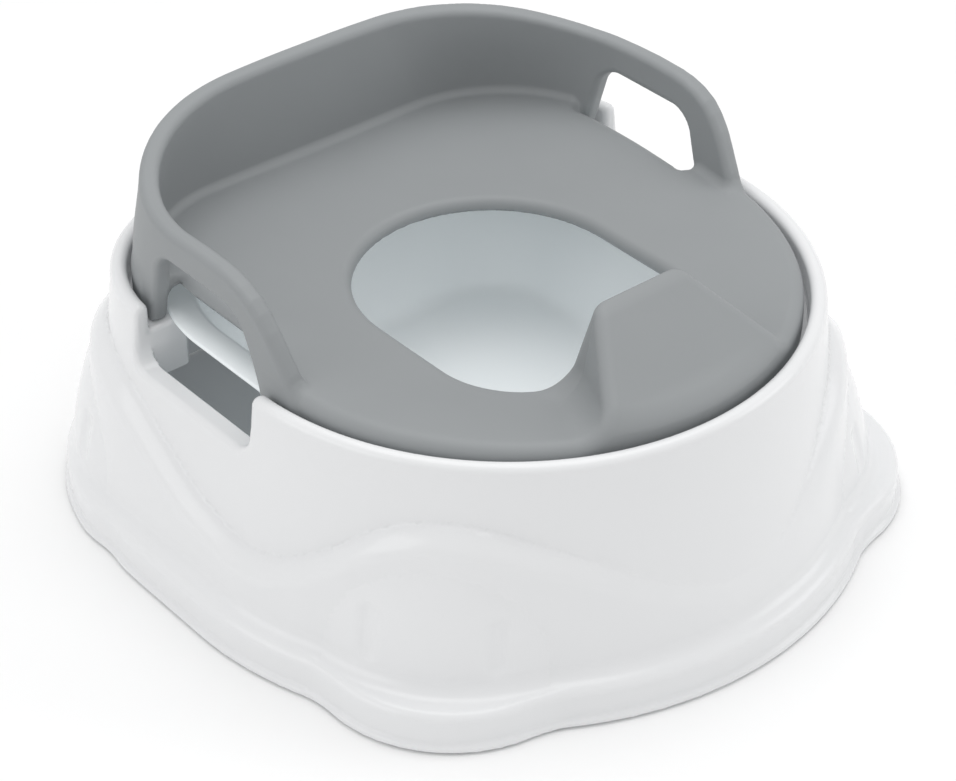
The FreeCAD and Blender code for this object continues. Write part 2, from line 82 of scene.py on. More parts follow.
# %% The plan that every part of the chair repeats
def plan_field(x, y, half, front, rear, corner):
    """Distance from a shape with a half circle in front and a straight back with round corners."""
    side = np.abs(x)
    middle = half - front
    u = side - (half - corner)
    v = y - (rear - corner)
    back = np.hypot(np.maximum(u, 0), np.maximum(v, 0)) + np.minimum(np.maximum(u, v), 0) - corner
    return np.where(y < middle, np.hypot(side, y - middle) - half, back)


# %% [markdown]
# ## From a field to a mesh
# A grid of points is laid through the field.  Every grid cell that the surface passes gets one
# vertex, and every grid edge that it crosses gets one face, a method called surface nets.  Each
# vertex is then slid along the field's slope until it lies on the surface itself, so the result is
# much smoother than the grid.  The slope also gives the exact shading normals.

# %% Surface nets
def slope_of(field, points, step=0.05):
    """The field's gradient at some points."""
    parts = []
    for axis in range(3):
        shift = np.zeros(3)
        shift[axis] = step
        after, before = points + shift, points - shift
        parts.append((field(*after.T) - field(*before.T)) / (2 * step))
    return np.stack(parts, axis=1)


def settle(field, points, rounds=4, reach=1.0):
    """Slide points onto the field's surface."""
    points = points.copy()
    for _ in range(rounds):
        value = field(*points.T)
        slope = slope_of(field, points)
        length = np.maximum((slope ** 2).sum(axis=1), 0.2)
        points -= np.clip(value / length, -reach, reach)[:, None] * slope
    return points


def relax(field, points, quads):
    """Even out the net: move vertices towards their neighbours, then back onto the surface."""
    a, b = quads.ravel(), np.roll(quads, -1, axis=1).ravel()
    here, there = np.concatenate([a, b]), np.concatenate([b, a])
    count = np.maximum(np.bincount(here, minlength=len(points)), 1)

    def middle():
        return np.stack([np.bincount(here, points[there, axis], len(points)) / count
                         for axis in range(3)], axis=1)

    for _ in range(3):
        points = settle(field, points + 0.5 * (middle() - points), rounds=1)
    points = settle(field, points, rounds=3)
    for _ in range(6):                      # where the net still folds over itself, only smooth it
        p, q, r, t = (points[quads[:, n]] for n in range(4))
        facing = np.cross(r - p, t - q)
        folded = (facing * slope_of(field, (p + q + r + t) / 4)).sum(axis=1) <= 0
        for a, b, c in ((p, q, r), (p, r, t), (q, r, t), (q, t, p)):
            folded |= (np.cross(b - a, c - a) * facing).sum(axis=1) < 0
        moved = np.unique(quads[folded])
        points[moved] = middle()[moved]
    print("folds left:", int(folded.sum()))
    return points


def runs(start, *stages):
    """Grid lines along one axis: stages are pairs of where to go and the step to take."""
    lines = [np.array([start])]
    for stop, step in stages:
        count = math.ceil((stop - start) / step)
        lines.append(np.linspace(start, stop, count + 1)[1:])
        start = stop
    return np.concatenate(lines)


def surface_nets(field, axes):
    """Vertices and quads of a field's surface on the grid that three axes span."""
    grid = np.meshgrid(*axes, indexing="ij")
    value = field(*grid)
    inside = value < 0
    shape = np.array(value.shape)
    corners = [(i, j, k) for i in (0, 1) for j in (0, 1) for k in (0, 1)]

    def part(array, corner):
        i, j, k = corner
        return array[i:shape[0] - 1 + i, j:shape[1] - 1 + j, k:shape[2] - 1 + k]

    count = sum(part(inside, corner).astype(np.int8) for corner in corners)
    cells = (count > 0) & (count < 8)
    where = np.argwhere(cells)
    number = np.full(cells.shape, -1)
    number[cells] = np.arange(len(where))
    total = np.zeros((len(where), 3))
    hits = np.zeros(len(where))
    values = {corner: part(value, corner)[cells] for corner in corners}
    for a in corners:
        for axis in range(3):
            if a[axis] == 1:
                continue
            b = tuple(1 if n == axis else c for n, c in enumerate(a))
            crossed = (values[a] < 0) != (values[b] < 0)
            share = values[a] / np.where(crossed, values[a] - values[b], 1)
            spot = np.tile(np.array(a, float), (len(where), 1))
            spot[:, axis] = share
            total += spot * crossed[:, None]
            hits += crossed
    spots = where + total / hits[:, None]
    points = np.stack([np.interp(spots[:, n], np.arange(len(axes[n])), axes[n])
                       for n in range(3)], axis=1)
    quads = []
    for axis in range(3):
        u, v = (axis + 1) % 3, (axis + 2) % 3
        first = [slice(1, -1)] * 3
        first[axis] = slice(0, -1)
        second = list(first)
        second[axis] = slice(1, None)
        a, b = inside[tuple(first)], inside[tuple(second)]
        edges = np.argwhere(a != b)
        leaving = a[a != b]
        offset = np.ones(3, int)
        offset[axis] = 0
        edges = edges + offset
        step_u, step_v = np.eye(3, dtype=int)[u], np.eye(3, dtype=int)[v]
        ring = [edges - step_u - step_v, edges - step_v, edges, edges - step_u]
        face = np.stack([number[tuple(cell.T)] for cell in ring], axis=1)
        face[~leaving] = face[~leaving][:, ::-1]
        quads.append(face)
    return points, np.concatenate(quads)


# %% [markdown]
# Smooth shading between vertices would still bend the light a little at tight radii, so each
# vertex also gets the field's own slope as its normal.  Grids of 1.6 to 2.5 mm are then fine
# enough for edges with a radius of a few millimetres, and the object stays light.

# %% Build one moulding
def link(mesh, name):
    """A new object for a mesh."""
    thing = bpy.data.objects.new(name, mesh)
    bpy.context.scene.collection.objects.link(thing)
    return thing


def moulding(name, field, axes):
    """A field's surface as one object."""
    points, quads = surface_nets(field, axes)
    points = relax(field, points, quads)
    mesh = bpy.data.meshes.new(name)
    mesh.from_pydata((points / 1000).tolist(), [], quads.tolist())
    normals = slope_of(field, points)
    normals /= np.maximum(np.linalg.norm(normals, axis=1), 1e-6)[:, None]
    mesh.polygons.foreach_set("use_smooth", np.ones(len(mesh.polygons), dtype=bool))
    mesh.normals_split_custom_set_from_vertices(normals.tolist())
    mesh.update()
    print(name, len(mesh.vertices), "vertices", len(mesh.polygons), "faces")
    return link(mesh, name)


# %% [markdown]
# ## The base's walls
# Seen from above, the base is a half circle in front and a rounded box behind.  Its wall leans in
# from the foot to the rim.  A soft step, the fender line, rises in an arch over each wheel and
# sinks between them, and the wall above the line is set back by 9 mm.  The line's height is a
# short table over the angle round the chair, smoothed so that no kink shows in the gloss.

# %% The fender line
RIM_TOP, FLANGE_TOP, LEDGE = 132.0, 21.5, 116.5
MOUTH = dict(half=150.5, front=161.0, rear=159.0, corner=82.0)
WALL_FOOT = dict(half=172.0, front=178.5, rear=178.5, corner=104.5)
WALL_RIM = dict(half=158.5, front=169.0, rear=167.0, corner=90.0)
LIP = dict(half=192.5, front=199.0, rear=199.0, corner=125.0)
SETBACK = 9.0
FENDER_TABLE = [(0, 46), (10, 56), (18, 69), (23.8, 78.5), (28.5, 86.5), (33, 91.5), (37.7, 97),
                (42, 101), (46, 102.5), (50.8, 101.5), (57.7, 94.5), (64.6, 80), (68, 70.5),
                (75.6, 58), (80, 53.5), (84, 52), (89, 54), (97.9, 60), (104, 68.5), (110.3, 79.5),
                (113.9, 87), (117.5, 92.5), (124.5, 98), (133, 99.5), (142, 97), (150, 88),
                (160, 71), (170, 56), (180, 50)]
STEP_TABLE = [(0, 0.10), (12, 0.16), (22, 0.42), (30, 0.78), (38, 1.0), (140, 1.0), (152, 0.7),
              (165, 0.3), (180, 0.15)]


def smooth_table(table, spread=2.5):
    """A table over 0 to 180 degrees as a smooth list, one value for each half degree."""
    angles = np.arange(-60, 240.5, 0.5)
    folded = np.where(angles < 0, -angles, np.where(angles > 180, 360 - angles, angles))
    stops, heights = zip(*table)
    raw = np.interp(folded, stops, heights)
    weights = np.exp(-0.5 * (np.arange(-24, 25) * 0.5 / spread) ** 2)
    soft = np.convolve(raw, weights / weights.sum(), mode="same")
    keep = (angles >= 0) & (angles <= 180)
    return angles[keep], soft[keep]


FENDER_LINE = smooth_table(FENDER_TABLE)
STEP_LINE = smooth_table(STEP_TABLE, 4)
print("fender line from", FENDER_LINE[1].min().round(1), "to", FENDER_LINE[1].max().round(1), "mm")

# %% The wheels' places
WHEEL_TURN = math.radians(39)
WHEEL_HEIGHT, WHEEL_RADIUS = 24.0, 55.0
BULGE_RADIUS = 72.0
DIMPLES_AT = (-31, 31)
DIMPLE_HEIGHT, DIMPLE_REACH, DIMPLE_RADIUS, DIMPLE_DEPTH = 45, 9, 4.6, 1.5
WHEELS = []
for across in (1, -1):
    for toward, side, end, dome in ((-1, 105.5, 95.0, 10.0), (1, 117.5, 111.0, 7.0)):
        facing = (across * math.cos(WHEEL_TURN), toward * math.sin(WHEEL_TURN))
        WHEELS.append(((across * side, toward * end), facing, dome))
print(len(WHEELS), "wheels")


def seen_from(wheel, x, y):
    """How far points lie in front of a wheel's centre, and how far to its side."""
    (kx, ky), (fx, fy), _ = wheel
    return (x - kx) * fx + (y - ky) * fy, (x - kx) * fy - (y - ky) * fx


# %% [markdown]
# A wheel is a flat dome that stands about a centimetre out of the fender, cut off by the ledge of
# the foot flange, with two shallow upright dimples.  The flange swells out round the front wheels.

# %% The wall with its wheels
def wall_field(x, y, z, inside=False):
    """The wall: lean, fender step, wheel domes and dimples, or a plainer shape for its inside."""
    up = (z - FLANGE_TOP) / (RIM_TOP - FLANGE_TOP)

    lean = {key: foot + (WALL_RIM[key] - foot) * up for key, foot in WALL_FOOT.items()}
    wall = plan_field(x, y, **lean)
    angle = np.degrees(np.arctan2(np.abs(x), -y))
    line = np.interp(angle, *FENDER_LINE)
    amount = SETBACK * np.interp(angle, *STEP_LINE)
    flush = SETBACK - amount
    t = np.clip((line - z) / 14, 0, 1)
    step = ease(line - z, 2, 22) if inside else (1 - (1 - t) ** 2.1) * ease(line - z, -1, 2.5)
    wall = wall - amount * step - flush * (1 - ease(z, 22, 118))
    for wheel in WHEELS:
        ahead, chord = seen_from(wheel, x, y)
        dome = wheel[2] * (0.7 if inside else 1)
        rho = np.hypot(chord, z - WHEEL_HEIGHT) / WHEEL_RADIUS
        face = dome * np.clip(1 - rho ** 2, 0, 1)
        for at in () if inside else DIMPLES_AT:
            over = np.maximum(np.abs(z - DIMPLE_HEIGHT) - DIMPLE_REACH, 0)
            dent = np.hypot(chord - at, over) / DIMPLE_RADIUS
            face = face - DIMPLE_DEPTH * np.exp(-dent ** 3)
        wall = wall - np.where(ahead > 0, face, 0)
    return wall


# %% The foot flange
def flange_field(x, y, z):
    """The flange round the foot, swelling round the wheels, with a thin lip at the floor."""
    lip = plan_field(x, y, **LIP)
    angle = np.degrees(np.arctan2(np.abs(x), -y))
    lip = lip + 2.5 * np.exp(-((angle - 112) / 3.5) ** 2)
    for (kx, ky), _, dome in WHEELS:
        if dome > 9:
            lip = either(lip, np.hypot(x - kx, y - ky) - BULGE_RADIUS, 5)
    skirt = both(lip + 2.6, z - FLANGE_TOP, 4.6)
    return either(skirt, both(lip, z - 4.6, 1.8), 2)


# %% [markdown]
# ## The base's top
# The rim is a full round, 8 mm wide.  Inside it a recess drops to the ledge that carries the bowl
# and the seat.  Each side has a hand notch with a closed, rounded floor between the outer wall and
# the wall of the recess.  All this is cut from a solid form first.  The plastic is then the outer
# few millimetres of that form, which gives every wall its inside in one line.

# %% The base's solid form
NOTCH_MIDDLE, NOTCH_HALF, NOTCH_FLOOR = 35.2, 47.5, 99.5
WELL_FLOOR, GAP_FLOOR = 91, 84
BOWL_HOLE_INSET = 21.5
WALL = 4.7
BOSS_AT, BOSS_RADIUS, BOSS_TOP = 45, 7, 42


def base_form(x, y, z, inside=False):
    """The base as if it were solid, with its recess and notches."""
    form = either(wall_field(x, y, z, inside), flange_field(x, y, z), 8)
    form = both(form, z - RIM_TOP, 3.9)
    mouth = plan_field(x, y, **MOUTH)
    form = without(form, both(mouth, LEDGE - z), 3.9)
    along = np.abs(y - NOTCH_MIDDLE) - NOTCH_HALF
    notch = both(along, NOTCH_FLOOR - z, 11)
    form = without(form, notch, 3)
    well = both(both(mouth, along), WELL_FLOOR - z)
    return without(form, well, 1.2)


def base_field(x, y, z):
    """The base's plastic."""
    form = base_form(x, y, z)
    mouth = plan_field(x, y, **MOUTH)
    along = np.abs(y - NOTCH_MIDDLE) - NOTCH_HALF
    bowl_hole = mouth + BOWL_HOLE_INSET
    gap = both(both(mouth, along), GAP_FLOOR - z)
    hollow = both(base_form(x, y, z, inside=True) + WALL, z - (LEDGE - WALL), 2)
    plastic = without(form, hollow)
    plastic = without(plastic, either(bowl_hole, gap), 0.8)
    for wheel in WHEELS:
        ahead, chord = seen_from(wheel, x, y)
        boss = np.hypot(ahead - BOSS_AT, chord) - BOSS_RADIUS
        rib = both(np.abs(chord) - 2.2, np.abs(ahead - 57) - 12)
        prop = both(either(boss, rib, 1), both(9 - z, z - BOSS_TOP))
        plastic = either(plastic, both(prop, form + 2), 1)
    return both(plastic, 1 - z, 0.8)


coarse = 1.0
base = moulding("base_moulding", base_field, (
    runs(-201, (201, 2.4 * coarse)), runs(-205, (206, 2.4 * coarse)),
    runs(-1.3, (23.5, 1.3 * coarse), (113, 2.5 * coarse), (134.5, 1.5 * coarse))))
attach(base, "base")
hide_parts("base_shell")

# %% [markdown]
# ## The seat
# The seat is one moulding too.  Its deck dishes down to an oval hole with a rolled lip.  In front
# of the hole a splash guard rises to a ridge and runs down a ramp to the front edge.  A wall
# follows the rear half of the outline as the backrest, and runs forward as two handles with a
# window each.

# %% The seat's deck and splash guard
HOLE = dict(half=70.5, front=71.0, rear=93.0, corner=44.0)
SKIRT_FOOT, SEAT_WALL, BACK_THICKNESS = 116.8, 3.6, 10.0
RIDGE_TOP, WINDOW_TOP = 174.5, 164.5


def seat_plan(x, y, z):
    """The seat's outline: higher up its rear corners get rounder and its sides flare a little."""
    flare = 2.8 * ease(z, 132, 185)
    return plan_field(x, y, 147.5 + flare, 158.0 + flare, 156.0, 80 + 24 * ease(z, 132, 192))


def hole_field(x, y):
    """Distance from the hole: round behind, narrower in front."""
    return plan_field(x, -y, **HOLE)


def window_reach(y):
    """Where along the seat the deck's edge is drawn in for the handle's window: 0 to 1."""
    return ease(y, -9, 5) * (1 - ease(y, 84, 97))


def deck_top(x, y):
    """Height of the deck: dished to the hole, and a little raised at the handles."""
    hole = hole_field(x, y)
    side = ease(np.abs(x), 78, 134) * np.exp(-((y - 38) / 62) ** 2)
    thigh = np.exp(-((np.abs(x) - 96) / 34) ** 2 - ((y + 82) / 40) ** 2)
    return 127.6 + 8.2 * ease(hole, -8, 84) + 5.0 * side + 1.6 * thigh


def guard_field(x, y, z):
    """The splash guard: steep behind, a ramp in front, flaring towards the front edge."""
    ahead = -106 - y
    behind = ((y + 93) * 46 + (z - 128) * 9) / 46.9
    ramp_height = 175.5 - 0.77 * ahead
    ramp = (z - ramp_height) / 1.262
    below = np.maximum(np.minimum(ramp_height, 174) - z, 0)
    half = 28 + 0.69 * np.maximum(ahead, 0) + 0.19 * below
    flank = (np.abs(x) - half) / 1.2
    top = both(both(ramp, z - RIDGE_TOP, 4), behind, 5)
    return both(top, flank, 7)


def seat_body(x, y, z):
    """Deck and splash guard as a solid form."""
    outline = seat_plan(x, y, z)
    edge = outline + 14 * window_reach(y)
    deck = z - deck_top(x, y)
    form = either(deck, guard_field(x, y, z), 13)
    form = both(form, edge, 8)
    return without(form, hole_field(x, y), 5)


# %% [markdown]
# The wall's height along the side is a table again: steep at the front post, level along the
# handle, then rising to the backrest.  The window is a wedge with rounded top corners, and the
# same radius all round the handle makes it a rounded bar.

# %% The seat's wall and windows
TOP_TABLE = [(-60, 60), (-45, 98), (-33, 123), (-28, 138), (-25.5, 143.5), (-22, 149.5),
             (-18, 156.5), (-14, 163), (-8, 170.5), (-2, 175.7), (6, 179.6), (14, 181.8),
             (22, 182.8), (40, 183.2), (62, 182.4), (85, 182.8), (100, 184.2), (112, 186),
             (126, 188.6), (140, 191), (150, 192.2), (160, 192.4)]


def seat_wall(x, y, z):
    """Backrest and handles."""
    outline = seat_plan(x, y, z)
    stops, heights = zip(*TOP_TABLE)
    top = np.interp(y, stops, heights)
    top = top + 2.6 * (1 - ease(np.abs(x), 10, 105)) * ease(y, 120, 152)
    rise = (np.interp(y + 2, stops, heights) - np.interp(y - 2, stops, heights)) / 4
    above = (z - top) / np.sqrt(1 + rise ** 2)
    half = BACK_THICKNESS / 2
    wall = both(np.abs(outline + half) - half, above, 3.6)
    front = -((y + 1.0) * 34.6 - (z - 130) * 11.4) / 36.4
    rear = ((y - 83.6) * 35.2 + (z - 129.4) * 9.6) / 36.5
    window = both(both(front, z - WINDOW_TOP, 10), rear, 11)
    window = both(window, 100 - np.abs(x))
    return without(wall, window, 3.6)


def seat_field(x, y, z):
    """The seat's plastic."""
    form = seat_body(x, y, z)
    outline = seat_plan(x, y, z)
    lip = 1 - ease(hole_field(x, y), 7, 22)
    slot = window_reach(y) * ease(outline, -26, -19)
    cut = SKIRT_FOOT + 4.2 * lip + 18 * slot
    plastic = both(both(form, -(form + SEAT_WALL)), cut - z, 0.8)
    wall = both(seat_wall(x, y, z), SKIRT_FOOT - z, 0.8)
    return either(plastic, wall, 4.5)


seat = moulding("seat_moulding", seat_field, (
    runs(-152, (152, 1.6 * coarse)), runs(-161, (159, 1.6 * coarse)),
    runs(113.9, (198, 1.6 * coarse))))
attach(seat, "seat")
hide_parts("toilet_seat")

# %% [markdown]
# ## The bowl
# The bowl follows one rule all the way round: every level line is the same plan, only drawn in by
# some amount.  Geometry Nodes suit that.  A grid has one column for each step round the plan and
# one row for each point of the wall's profile; a table of the profile says how far each row is
# drawn in and how high it lies.  The first and last rows shrink to a point and close the floor.

# %% A short way to write node trees
class Value:
    """A socket that can be used in plain arithmetic; each operation adds a Math node."""

    def __init__(self, tree, socket):
        self.tree, self.socket = tree, socket

    def math(self, operation, *others):
        node = self.tree.nodes.new("ShaderNodeMath")
        node.operation = operation
        for slot, item in zip(node.inputs, (self, *others)):
            feed(self.tree, slot, item)
        return Value(self.tree, node.outputs[0])

    def __add__(self, other):
        return self.math("ADD", other)

    def __sub__(self, other):
        return self.math("SUBTRACT", other)

    def __mul__(self, other):
        return self.math("MULTIPLY", other)

    def __truediv__(self, other):
        return self.math("DIVIDE", other)

    def __neg__(self):
        return self * -1

    def __rsub__(self, other):
        return -self + other

    __radd__ = __add__
    __rmul__ = __mul__


def feed(tree, slot, item):
    """Link a value to a socket, or set the socket to a plain number."""
    if isinstance(item, Value):
        tree.links.new(item.socket, slot)
    elif item is not None:
        slot.default_value = item


def add(tree, kind, settings=None, **values):
    """Any other node: its type, its settings, then its inputs by name, with _ for a space."""
    node = tree.nodes.new(kind)
    for key, setting in (settings or {}).items():
        setattr(node, key, setting)
    for key, item in values.items():
        matching = [slot for slot in node.inputs
                    if slot.name.replace(" ", "_").lower() == key.lower() and slot.enabled]
        feed(tree, matching[0], item)
    return node


def out(node, name=0):
    """One output of a node as a value."""
    return Value(node.id_data, node.outputs[name])


def new_tree(name, sizes):
    """A Geometry Nodes tree with named number inputs, and those inputs as values."""
    tree = bpy.data.node_groups.new(name, "GeometryNodeTree")
    tree.interface.new_socket("Geometry", in_out="OUTPUT", socket_type="NodeSocketGeometry")
    tree.interface.new_socket("Geometry", in_out="INPUT", socket_type="NodeSocketGeometry")
    for size, value in sizes.items():
        tree.interface.new_socket(size, in_out="INPUT", socket_type="NodeSocketFloat")
    given = tree.nodes.new("NodeGroupInput")
    return tree, {size: Value(tree, given.outputs[size]) for size in sizes}


def grown(name, tree, sizes, geometry, material):
    """Finish a tree, run it on an empty mesh and keep the result as one plain mesh."""
    real = add(tree, "GeometryNodeRealizeInstances", Geometry=geometry)
    merged = add(tree, "GeometryNodeMergeByDistance", Geometry=out(real), Distance=1e-6)
    finish = add(tree, "GeometryNodeSetMaterial", Geometry=out(merged), Material=material)
    result = tree.nodes.new("NodeGroupOutput")
    tree.links.new(finish.outputs[0], result.inputs[0])
    thing = link(bpy.data.meshes.new(name), name)
    grow = thing.modifiers.new("grow", "NODES")
    grow.node_group = tree
    for item in tree.interface.items_tree:
        if item.in_out == "INPUT" and item.name in sizes:
            grow[item.identifier] = float(sizes[item.name])
    made = bpy.data.meshes.new_from_object(
        thing.evaluated_get(bpy.context.evaluated_depsgraph_get()))
    thing.modifiers.clear()
    thing.data = made
    made.polygons.foreach_set("use_smooth", np.ones(len(made.polygons), dtype=bool))
    print(name, len(made.vertices), "vertices", len(made.polygons), "faces")
    return thing


# %% [markdown]
# ## Finishes
# Injection-moulded plastic is never perfectly even.  The gloss of the base wanders a little where
# the mould was polished by hand, and its surface carries a faint long ripple that only the
# highlights show.  The seat has a fine spark-eroded grain, so it looks matt.  All patterns read
# Object coordinates, which are metres here, so their scales are real.  Base and bowl also have a
# faint, even painted glow: an emission that stands for the light that thin white plastic lets
# through.

# %% The shader helpers
def new_finish(name, colour, roughness):
    """A material with a Principled shader, and object coordinates to build patterns on."""
    finish = bpy.data.materials.new(name)
    finish.use_nodes = True
    tree = finish.node_tree
    shader = tree.nodes["Principled BSDF"]
    shader.inputs["Base Color"].default_value = (*colour, 1)
    shader.inputs["Roughness"].default_value = roughness
    finish.diffuse_color = (*colour, 1)
    return finish, tree, shader, out(add(tree, "ShaderNodeTexCoord"), "Object")


def noise(tree, where, scale, detail=2.0):
    """Soft random values about 0.5 that repeat about scale times in a metre."""
    return out(add(tree, "ShaderNodeTexNoise", Vector=where, Scale=scale, Detail=detail), 0)


def tint(tree, amount, first, second):
    """A colour between two colours."""
    mix = add(tree, "ShaderNodeMix", {"data_type": "RGBA"})
    feed(tree, mix.inputs[0], amount)
    mix.inputs[6].default_value = (*first, 1)
    mix.inputs[7].default_value = (*second, 1)
    return Value(tree, mix.outputs[2])


def relief(tree, shader, height, strength, distance):
    """Feed a height to the shader's normal."""
    bump = add(tree, "ShaderNodeBump", Height=height, Strength=strength, Distance=distance)
    tree.links.new(bump.outputs[0], shader.inputs["Normal"])


def into(tree, shader, **values):
    """Link varying values to the shader's inputs."""
    for name, value in values.items():
        tree.links.new(value.socket, shader.inputs[name.replace("_", " ")])


# %% Glossy white of the base
base_white, tree, shader, where = new_finish("base_white", (0.76, 0.765, 0.772), 0.2)
cloud = noise(tree, where, 9)
into(tree, shader, Base_Color=tint(tree, cloud, (0.745, 0.75, 0.757), (0.775, 0.78, 0.787)),
     Roughness=noise(tree, where, 38) * 0.08 + 0.14 + noise(tree, where, 900) * 0.03)
relief(tree, shader, noise(tree, where, 55) + noise(tree, where, 1500) * 0.05, 0.08, 0.0006)
shader.inputs["IOR"].default_value = 1.49
# painted glow: a faint cool emission that brightens the base as light through thin plastic would
shader.inputs["Emission Color"].default_value = (0.9, 0.95, 1, 1)
shader.inputs["Emission Strength"].default_value = 0.035
base.data.materials.append(base_white)
print("finish", base_white.name)

# %% Satin, slightly cool white of the bowl
bowl_white, tree, shader, where = new_finish("bowl_white", (0.78, 0.805, 0.815), 0.36)
into(tree, shader, Base_Color=tint(tree, noise(tree, where, 14), (0.765, 0.795, 0.807),
                                   (0.795, 0.815, 0.823)),
     Roughness=noise(tree, where, 60) * 0.12 + 0.30)
relief(tree, shader, noise(tree, where, 120), 0.08, 0.0005)
shader.inputs["IOR"].default_value = 1.49
# painted glow: a cool emission that brightens the shaded bowl as light through thin plastic would
shader.inputs["Emission Color"].default_value = (0.88, 0.97, 1, 1)
shader.inputs["Emission Strength"].default_value = 0.16

# %% Fine matt grain of the grey seat
seat_grey, tree, shader, where = new_finish("seat_grey", (0.283, 0.298, 0.306), 0.5)
grain = noise(tree, where, 1400, 3)
into(tree, shader, Base_Color=tint(tree, noise(tree, where, 22) * 0.6 + grain * 0.4,
                                   (0.272, 0.286, 0.294), (0.294, 0.309, 0.317)),
     Roughness=noise(tree, where, 30) * 0.10 + 0.44 + grain * 0.08)
relief(tree, shader, grain, 0.22, 0.00012)
shader.inputs["IOR"].default_value = 1.47
seat.data.materials.append(seat_grey)
print("finish", seat_grey.name)

# %% Dark soft rubber
rubber, tree, shader, where = new_finish("rubber_grey", (0.045, 0.046, 0.05), 0.75)
dust = noise(tree, where, 160, 4)
into(tree, shader, Base_Color=tint(tree, dust, (0.035, 0.036, 0.04), (0.06, 0.061, 0.065)),
     Roughness=dust * 0.2 + 0.65)
relief(tree, shader, noise(tree, where, 2200), 0.3, 0.00015)
print("finish", rubber.name)

# %% [markdown]
# The bowl's profile starts under the floor's middle, goes out and up the outside of the wall,
# round the brim, and down the inside to the floor's middle again, so it is a closed wall of even
# thickness.  It is written as a few corners, and each corner is rounded by its own radius.

# %% Round the corners of a profile
def rounded(corners, pieces=6):
    """A line of (inset, height, radius) corners with every corner that has a radius rounded."""
    line = []
    for number, (*here, radius) in enumerate(corners):
        here = np.array(here)
        if radius == 0:
            line.append(here)
            continue
        before = np.array(corners[number - 1][:2]) - here
        after = np.array(corners[number + 1][:2]) - here
        before, after = before / np.linalg.norm(before), after / np.linalg.norm(after)
        half = math.acos(np.clip(before @ after, -1, 1)) / 2
        centre = here + (before + after) / np.linalg.norm(before + after) * radius / math.sin(half)
        start = here + before * radius / math.tan(half) - centre
        finish = here + after * radius / math.tan(half) - centre
        turn = math.pi - 2 * half
        for share in np.linspace(0, 1, pieces):
            spot = (math.sin((1 - share) * turn) * start + math.sin(share * turn) * finish)
            line.append(centre + spot / math.sin(turn))
    return line


# %% One row of a profile, all round a plan
def plan_rings(tree, sizes, profile, columns):
    """A closed mesh from a profile of (inset, height) rows in mm, drawn round the plan."""
    rows = [(*profile[0], 1), *[(*row, 0) for row in profile], (*profile[-1], 1)]
    grid = add(tree, "GeometryNodeMeshGrid")
    grid.inputs["Vertices X"].default_value = len(rows)
    grid.inputs["Vertices Y"].default_value = columns + 1
    index = out(add(tree, "GeometryNodeInputIndex"))
    row = ((index + 0.5) / (columns + 1)).math("FLOOR")
    column = index - row * (columns + 1)
    table = tree.nodes.new("GeometryNodeIndexSwitch")
    table.data_type = "VECTOR"
    while len(table.index_switch_items) < len(rows):
        table.index_switch_items.new()
    feed(tree, table.inputs[0], row)
    for number, (inset, height, shrink) in enumerate(rows):
        table.inputs[number + 1].default_value = (inset / 1000, height / 1000, shrink)
    split = add(tree, "ShaderNodeSeparateXYZ", Vector=out(table))
    inset, height, shrink = out(split, 0), out(split, 1), out(split, 2)
    turn = column * (2 * math.pi / columns)
    across, along = turn.math("COSINE"), turn.math("SINE")
    front = along.math("LESS_THAN", -1e-5)
    rear = 1 - front
    radius = front * sizes["half"] + rear * sizes["corner"] - inset
    side = across.math("SIGN") * across.math("ABSOLUTE").math("GREATER_THAN", 1e-5)
    x = (side * rear * (sizes["half"] - sizes["corner"]) + radius * across) * (1 - shrink)
    y = front * (sizes["half"] - sizes["front"]) + rear * (sizes["rear"] - sizes["corner"])
    y = (y + radius * along) * (1 - shrink)
    place = add(tree, "ShaderNodeCombineXYZ", X=x, Y=y, Z=height)
    return out(add(tree, "GeometryNodeSetPosition", Geometry=out(grid), Position=out(place)))


def facing_out(thing):
    """Turn every face of a closed mesh outwards."""
    mesh = bmesh.new()
    mesh.from_mesh(thing.data)
    bmesh.ops.recalc_face_normals(mesh, faces=mesh.faces)
    mesh.to_mesh(thing.data)
    mesh.free()
    return thing


# %% The bowl
BRIM = dict(half=0.141, front=0.1515, rear=0.1495, corner=0.092)
bowl_profile = rounded([(66, 41.5, 0), (53, 41.5, 15), (12.9, 116.5, 2.5), (0, 116.5, 1.2),
                        (0, 119, 1.2), (15.4, 119, 3.5), (55.5, 44, 12.5), (66, 44, 0)])
tree, sizes = new_tree("bowl_rule", BRIM)
bowl = facing_out(grown("bowl_moulding", tree, BRIM, plan_rings(tree, sizes, bowl_profile, 180),
                        bowl_white))
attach(bowl, "bowl")
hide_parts("potty_bowl")

# %% [markdown]
# ## The rubber parts
# The same rule makes a turned foot, because a plan whose sizes are all equal is a circle.  The
# four feet are instances of one foot with two tread rings, set on the corner bosses.  The grips
# under the deck are soft bars with cross ribs, and a field makes them in one go.

# %% The feet
FOOT_PLACES = [(side * x, y) for x, y in ((0.14047, -0.12332), (0.15247, 0.13932))
               for side in (1, -1)]
FOOT = dict(half=0.012, front=0.012, rear=0.012, corner=0.012)
foot_profile = rounded([(11.2, 0.9, 0), (9.6, 0.9, 0), (9.0, 0, 0.3), (7.2, 0, 0.3), (6.6, 0.9, 0),
                        (5.4, 0.9, 0), (4.8, 0, 0.3), (0, 0, 1.6), (0, 9, 1.0), (8, 9, 0.6),
                        (8, 23, 0.8), (11.2, 23, 0)], pieces=4)
tree, sizes = new_tree("foot_rule", FOOT)
spots = tree.nodes.new("GeometryNodeIndexSwitch")
spots.data_type = "VECTOR"
while len(spots.index_switch_items) < len(FOOT_PLACES):
    spots.index_switch_items.new()
feed(tree, spots.inputs[0], out(add(tree, "GeometryNodeInputIndex")))
for number, (x, y) in enumerate(FOOT_PLACES):
    spots.inputs[number + 1].default_value = (x, y, 0)
points = add(tree, "GeometryNodePoints", Position=out(spots))
points.inputs["Count"].default_value = len(FOOT_PLACES)
copies = add(tree, "GeometryNodeInstanceOnPoints", Points=out(points),
             Instance=plan_rings(tree, sizes, foot_profile, 40))
